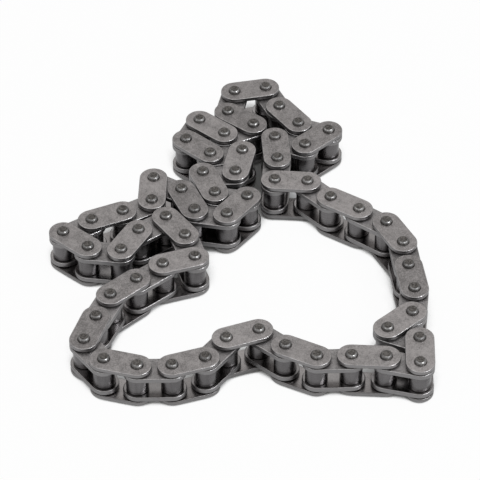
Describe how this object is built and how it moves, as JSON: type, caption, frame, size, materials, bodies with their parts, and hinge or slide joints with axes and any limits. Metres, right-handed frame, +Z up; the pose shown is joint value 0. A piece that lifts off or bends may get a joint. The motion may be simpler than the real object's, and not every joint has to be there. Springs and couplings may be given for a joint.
{
  "type": "timing chain",
  "caption": "Endless single-strand roller timing chain lying loosely folded on its side, with riveted outer links, bushed inner links and a hinge at each pin.",
  "frame": {"origin": "middle of the ground that the folded chain covers, on the table under the pin ends", "axes": "+Z up along the pins, +X to the right and +Y away from the viewer of the picture"},
  "size_m": [0.1082, 0.1256, 0.0139],
  "materials": {
    "outer_link_steel": "tumbled satin steel",
    "inner_link_steel": "oiled satin steel, darker on bushes and rollers"
  },
  "bodies": {
    "inner_link_01": {"inner_link_01": "inner_link_steel"},
    "outer_link_01": {"outer_link_01": "outer_link_steel"},
    "inner_link_02": {"inner_link_02": "inner_link_steel"},
    "outer_link_02": {"outer_link_02": "outer_link_steel"},
    "inner_link_03": {"inner_link_03": "inner_link_steel"},
    "outer_link_03": {"outer_link_03": "outer_link_steel"},
    "inner_link_04": {"inner_link_04": "inner_link_steel"},
    "outer_link_04": {"outer_link_04": "outer_link_steel"},
    "inner_link_05": {"inner_link_05": "inner_link_steel"},
    "outer_link_05": {"outer_link_05": "outer_link_steel"},
    "inner_link_06": {"inner_link_06": "inner_link_steel"},
    "outer_link_06": {"outer_link_06": "outer_link_steel"},
    "inner_link_07": {"inner_link_07": "inner_link_steel"},
    "outer_link_07": {"outer_link_07": "outer_link_steel"},
    "inner_link_08": {"inner_link_08": "inner_link_steel"},
    "outer_link_08": {"outer_link_08": "outer_link_steel"},
    "inner_link_09": {"inner_link_09": "inner_link_steel"},
    "outer_link_09": {"outer_link_09": "outer_link_steel"},
    "inner_link_10": {"inner_link_10": "inner_link_steel"},
    "outer_link_10": {"outer_link_10": "outer_link_steel"},
    "inner_link_11": {"inner_link_11": "inner_link_steel"},
    "outer_link_11": {"outer_link_11": "outer_link_steel"},
    "inner_link_12": {"inner_link_12": "inner_link_steel"},
    "outer_link_12": {"outer_link_12": "outer_link_steel"},
    "inner_link_13": {"inner_link_13": "inner_link_steel"},
    "outer_link_13": {"outer_link_13": "outer_link_steel"},
    "inner_link_14": {"inner_link_14": "inner_link_steel"},
    "outer_link_14": {"outer_link_14": "outer_link_steel"},
    "inner_link_15": {"inner_link_15": "inner_link_steel"},
    "outer_link_15": {"outer_link_15": "outer_link_steel"},
    "inner_link_16": {"inner_link_16": "inner_link_steel"},
    "outer_link_16": {"outer_link_16": "outer_link_steel"},
    "inner_link_17": {"inner_link_17": "inner_link_steel"},
    "outer_link_17": {"outer_link_17": "outer_link_steel"},
    "inner_link_18": {"inner_link_18": "inner_link_steel"},
    "outer_link_18": {"outer_link_18": "outer_link_steel"},
    "inner_link_19": {"inner_link_19": "inner_link_steel"},
    "outer_link_19": {"outer_link_19": "outer_link_steel"},
    "inner_link_20": {"inner_link_20": "inner_link_steel"},
    "outer_link_20": {"outer_link_20": "outer_link_steel"},
    "inner_link_21": {"inner_link_21": "inner_link_steel"},
    "outer_link_21": {"outer_link_21": "outer_link_steel"},
    "inner_link_22": {"inner_link_22": "inner_link_steel"},
    "outer_link_22": {"outer_link_22": "outer_link_steel"},
    "inner_link_23": {"inner_link_23": "inner_link_steel"},
    "outer_link_23": {"outer_link_23": "outer_link_steel"},
    "inner_link_24": {"inner_link_24": "inner_link_steel"},
    "outer_link_24": {"outer_link_24": "outer_link_steel"},
    "inner_link_25": {"inner_link_25": "inner_link_steel"},
    "outer_link_25": {"outer_link_25": "outer_link_steel"},
    "inner_link_26": {"inner_link_26": "inner_link_steel"},
    "outer_link_26": {"outer_link_26": "outer_link_steel"},
    "inner_link_27": {"inner_link_27": "inner_link_steel"},
    "outer_link_27": {"outer_link_27": "outer_link_steel"},
    "inner_link_28": {"inner_link_28": "inner_link_steel"},
    "outer_link_28": {"outer_link_28": "outer_link_steel"},
    "inner_link_29": {"inner_link_29": "inner_link_steel"},
    "outer_link_29": {"outer_link_29": "outer_link_steel"},
    "inner_link_30": {"inner_link_30": "inner_link_steel"},
    "outer_link_30": {"outer_link_30": "outer_link_steel"}
  },
  "joints": [
    {"name": "pivot_01", "type": "hinge", "parent": "outer_link_01", "child": "inner_link_01", "pos_m": [-0.03571, -0.03084, 0.00696], "axis": [0, 0, -1], "range_deg": [0, 120]},
    {"name": "pivot_02", "type": "hinge", "parent": "inner_link_02", "child": "outer_link_01", "pos_m": [-0.02863, -0.02447, 0.00696], "axis": [0, 0, -1], "range_deg": [-95, 65]},
    {"name": "pivot_03", "type": "hinge", "parent": "outer_link_02", "child": "inner_link_02", "pos_m": [-0.02134, -0.01835, 0.00696], "axis": [0, 0, -1], "range_deg": [-60, 25]},
    {"name": "pivot_04", "type": "hinge", "parent": "inner_link_03", "child": "outer_link_02", "pos_m": [-0.01228, -0.0154, 0.00696], "axis": [0, 0, 1], "range_deg": [0, 30]},
    {"name": "pivot_05", "type": "hinge", "parent": "outer_link_03", "child": "inner_link_03", "pos_m": [-0.01522, -0.00634, 0.00696], "axis": [0, 0, 1], "range_deg": [-4, 35]},
    {"name": "pivot_06", "type": "hinge", "parent": "inner_link_04", "child": "outer_link_03", "pos_m": [-0.02082, 0.00136, 0.00696], "axis": [0, 0, -1], "range_deg": [-4, 10]},
    {"name": "pivot_07", "type": "hinge", "parent": "outer_link_04", "child": "inner_link_04", "pos_m": [-0.02853, -0.00424, 0.00696], "axis": [0, 0, 1], "range_deg": [-25, 0]},
    {"name": "pivot_08", "type": "hinge", "parent": "inner_link_05", "child": "outer_link_04", "pos_m": [-0.03329, -0.01249, 0.00696], "axis": [0, 0, -1], "range_deg": [0, 4]},
    {"name": "pivot_09", "type": "hinge", "parent": "outer_link_05", "child": "inner_link_05", "pos_m": [-0.04274, -0.01132, 0.00696], "axis": [0, 0, 1], "range_deg": [-6, 0]},
    {"name": "pivot_10", "type": "hinge", "parent": "inner_link_06", "child": "outer_link_05", "pos_m": [-0.05004, -0.0052, 0.00696], "axis": [0, 0, -1], "range_deg": [0, 3]},
    {"name": "pivot_11", "type": "hinge", "parent": "outer_link_06", "child": "inner_link_06", "pos_m": [-0.04205, -0.00001, 0.00696], "axis": [0, 0, -1], "range_deg": [0, 50]},
    {"name": "pivot_12", "type": "hinge", "parent": "inner_link_07", "child": "outer_link_06", "pos_m": [-0.03328, 0.00371, 0.00696], "axis": [0, 0, 1], "range_deg": [-110, 0]},
    {"name": "pivot_13", "type": "hinge", "parent": "outer_link_07", "child": "inner_link_07", "pos_m": [-0.02503, 0.00847, 0.00696], "axis": [0, 0, -1], "range_deg": [0, 60]},
    {"name": "pivot_14", "type": "hinge", "parent": "inner_link_08", "child": "outer_link_07", "pos_m": [-0.0247, 0.01799, 0.00696], "axis": [0, 0, 1], "range_deg": [-110, 0]},
    {"name": "pivot_15", "type": "hinge", "parent": "outer_link_08", "child": "inner_link_08", "pos_m": [-0.01654, 0.01308, 0.00696], "axis": [0, 0, -1], "range_deg": [0, 40]},
    {"name": "pivot_16", "type": "hinge", "parent": "inner_link_09", "child": "outer_link_08", "pos_m": [-0.01266, 0.00438, 0.00696], "axis": [0, 0, 1], "range_deg": [0, 30]},
    {"name": "pivot_17", "type": "hinge", "parent": "outer_link_09", "child": "inner_link_09", "pos_m": [-0.00331, 0.00256, 0.00696], "axis": [0, 0, 1], "range_deg": [0, 20]},
    {"name": "pivot_18", "type": "hinge", "parent": "inner_link_10", "child": "outer_link_09", "pos_m": [0.00255, 0.01007, 0.00696], "axis": [0, 0, -1], "range_deg": [-15, 0]},
    {"name": "pivot_19", "type": "hinge", "parent": "outer_link_10", "child": "inner_link_10", "pos_m": [-0.00683, 0.01172, 0.00696], "axis": [0, 0, 1], "range_deg": [0, 15]},
    {"name": "pivot_20", "type": "hinge", "parent": "inner_link_11", "child": "outer_link_10", "pos_m": [-0.0104, 0.02056, 0.00696], "axis": [0, 0, -1], "range_deg": [-8, 45]},
    {"name": "pivot_21", "type": "hinge", "parent": "outer_link_11", "child": "inner_link_11", "pos_m": [-0.00088, 0.02089, 0.00696], "axis": [0, 0, -1], "range_deg": [-10, 0]},
    {"name": "pivot_22", "type": "hinge", "parent": "inner_link_12", "child": "outer_link_11", "pos_m": [0.0011, 0.03021, 0.00696], "axis": [0, 0, 1], "range_deg": [0, 8]},
    {"name": "pivot_23", "type": "hinge", "parent": "outer_link_12", "child": "inner_link_12", "pos_m": [-0.00833, 0.02888, 0.00696], "axis": [0, 0, 1], "range_deg": [-35, 0]},
    {"name": "pivot_24", "type": "hinge", "parent": "inner_link_13", "child": "outer_link_12", "pos_m": [-0.01552, 0.03513, 0.00696], "axis": [0, 0, -1], "range_deg": [0, 80]},
    {"name": "pivot_25", "type": "hinge", "parent": "outer_link_13", "child": "inner_link_13", "pos_m": [-0.01164, 0.04383, 0.00696], "axis": [0, 0, 1], "range_deg": [-50, 0]},
    {"name": "pivot_26", "type": "hinge", "parent": "inner_link_14", "child": "outer_link_13", "pos_m": [-0.00424, 0.03784, 0.00696], "axis": [0, 0, -1], "range_deg": [-5, 0]},
    {"name": "pivot_27", "type": "hinge", "parent": "outer_link_14", "child": "inner_link_14", "pos_m": [0.00439, 0.04186, 0.00696], "axis": [0, 0, 1], "range_deg": [0, 6]},
    {"name": "pivot_28", "type": "hinge", "parent": "inner_link_15", "child": "outer_link_14", "pos_m": [-0.00322, 0.04759, 0.00696], "axis": [0, 0, -1], "range_deg": [-4, 35]},
    {"name": "pivot_29", "type": "hinge", "parent": "outer_link_15", "child": "inner_link_15", "pos_m": [-0.00124, 0.05691, 0.00696], "axis": [0, 0, 1], "range_deg": [-80, 0]},
    {"name": "pivot_30", "type": "hinge", "parent": "inner_link_16", "child": "outer_link_15", "pos_m": [0.00811, 0.05873, 0.00696], "axis": [0, 0, -1], "range_deg": [0, 65]},
    {"name": "pivot_31", "type": "hinge", "parent": "inner_link_16", "child": "outer_link_16", "pos_m": [0.01214, 0.0501, 0.00696], "axis": [0, 0, -1], "range_deg": [-80, 0]},
    {"name": "pivot_32", "type": "hinge", "parent": "outer_link_16", "child": "inner_link_17", "pos_m": [0.01774, 0.04239, 0.00696], "axis": [0, 0, -1], "range_deg": [-35, 0]},
    {"name": "pivot_33", "type": "hinge", "parent": "inner_link_17", "child": "outer_link_17", "pos_m": [0.02669, 0.03913, 0.00696], "axis": [0, 0, 1], "range_deg": [0, 45]},
    {"name": "pivot_34", "type": "hinge", "parent": "outer_link_17", "child": "inner_link_18", "pos_m": [0.01961, 0.03276, 0.00696], "axis": [0, 0, -1], "range_deg": [-20, 0]},
    {"name": "pivot_35", "type": "hinge", "parent": "inner_link_18", "child": "outer_link_18", "pos_m": [0.01072, 0.03617, 0.00696], "axis": [0, 0, -1], "range_deg": [-4, 11]},
    {"name": "pivot_36", "type": "hinge", "parent": "outer_link_18", "child": "inner_link_19", "pos_m": [0.01138, 0.02667, 0.00696], "axis": [0, 0, 1], "range_deg": [-10, 30]},
    {"name": "pivot_37", "type": "hinge", "parent": "inner_link_19", "child": "outer_link_19", "pos_m": [0.01055, 0.01718, 0.00696], "axis": [0, 0, -1], "range_deg": [-20, 10]},
    {"name": "pivot_38", "type": "hinge", "parent": "outer_link_19", "child": "inner_link_20", "pos_m": [0.02005, 0.01652, 0.00696], "axis": [0, 0, 1], "range_deg": [-11, 40]},
    {"name": "pivot_39", "type": "hinge", "parent": "inner_link_20", "child": "outer_link_20", "pos_m": [0.02667, 0.00966, 0.00696], "axis": [0, 0, -1], "range_deg": [-20, 0]},
    {"name": "pivot_40", "type": "hinge", "parent": "outer_link_20", "child": "inner_link_21", "pos_m": [0.03475, 0.00462, 0.00696], "axis": [0, 0, -1], "range_deg": [-20, 0]},
    {"name": "pivot_41", "type": "hinge", "parent": "inner_link_21", "child": "outer_link_21", "pos_m": [0.04245, -0.00098, 0.00696], "axis": [0, 0, 1], "range_deg": [0, 45]},
    {"name": "pivot_42", "type": "hinge", "parent": "outer_link_21", "child": "inner_link_22", "pos_m": [0.04693, -0.00939, 0.00696], "axis": [0, 0, -1], "range_deg": [-30, 0]},
    {"name": "pivot_43", "type": "hinge", "parent": "inner_link_22", "child": "outer_link_22", "pos_m": [0.04809, -0.01885, 0.00696], "axis": [0, 0, 1], "range_deg": [0, 45]},
    {"name": "pivot_44", "type": "hinge", "parent": "outer_link_22", "child": "inner_link_23", "pos_m": [0.04941, -0.02828, 0.00696], "axis": [0, 0, 1], "range_deg": [0, 55]},
    {"name": "pivot_45", "type": "hinge", "parent": "inner_link_23", "child": "outer_link_23", "pos_m": [0.04842, -0.03775, 0.00696], "axis": [0, 0, -1], "range_deg": [-65, 0]},
    {"name": "pivot_46", "type": "hinge", "parent": "outer_link_23", "child": "inner_link_24", "pos_m": [0.04134, -0.04412, 0.00696], "axis": [0, 0, 1], "range_deg": [0, 5]},
    {"name": "pivot_47", "type": "hinge", "parent": "inner_link_24", "child": "outer_link_24", "pos_m": [0.05004, -0.048, 0.00696], "axis": [0, 0, 1], "range_deg": [0, 65]},
    {"name": "pivot_48", "type": "hinge", "parent": "outer_link_24", "child": "inner_link_25", "pos_m": [0.04987, -0.05752, 0.00696], "axis": [0, 0, -1], "range_deg": [-75, 0]},
    {"name": "pivot_49", "type": "hinge", "parent": "inner_link_25", "child": "outer_link_25", "pos_m": [0.04063, -0.05522, 0.00696], "axis": [0, 0, 1], "range_deg": [0, 80]},
    {"name": "pivot_50", "type": "hinge", "parent": "outer_link_25", "child": "inner_link_26", "pos_m": [0.03112, -0.05472, 0.00696], "axis": [0, 0, -1], "range_deg": [-60, 0]},
    {"name": "pivot_51", "type": "hinge", "parent": "inner_link_26", "child": "outer_link_26", "pos_m": [0.0216, -0.05505, 0.00696], "axis": [0, 0, 1], "range_deg": [0, 110]},
    {"name": "pivot_52", "type": "hinge", "parent": "outer_link_26", "child": "inner_link_27", "pos_m": [0.01304, -0.05088, 0.00696], "axis": [0, 0, -1], "range_deg": [-30, 0]},
    {"name": "pivot_53", "type": "hinge", "parent": "inner_link_27", "child": "outer_link_27", "pos_m": [0.00574, -0.04475, 0.00696], "axis": [0, 0, -1], "range_deg": [-20, 0]},
    {"name": "pivot_54", "type": "hinge", "parent": "outer_link_27", "child": "inner_link_28", "pos_m": [-0.00321, -0.04801, 0.00696], "axis": [0, 0, -1], "range_deg": [-35, 0]},
    {"name": "pivot_55", "type": "hinge", "parent": "inner_link_28", "child": "outer_link_28", "pos_m": [-0.00894, -0.05562, 0.00696], "axis": [0, 0, -1], "range_deg": [-65, 0]},
    {"name": "pivot_56", "type": "hinge", "parent": "outer_link_28", "child": "inner_link_29", "pos_m": [-0.018, -0.05856, 0.00696], "axis": [0, 0, 1], "range_deg": [0, 120]},
    {"name": "pivot_57", "type": "hinge", "parent": "inner_link_29", "child": "outer_link_29", "pos_m": [-0.02752, -0.05873, 0.00696], "axis": [0, 0, 1], "range_deg": [-4, 65]},
    {"name": "pivot_58", "type": "hinge", "parent": "outer_link_29", "child": "inner_link_30", "pos_m": [-0.03672, -0.05626, 0.00696], "axis": [0, 0, 1], "range_deg": [-11, 120]},
    {"name": "pivot_59", "type": "hinge", "parent": "inner_link_30", "child": "outer_link_30", "pos_m": [-0.04244, -0.04865, 0.00696], "axis": [0, 0, -1], "range_deg": [-120, 10]}
  ]
}
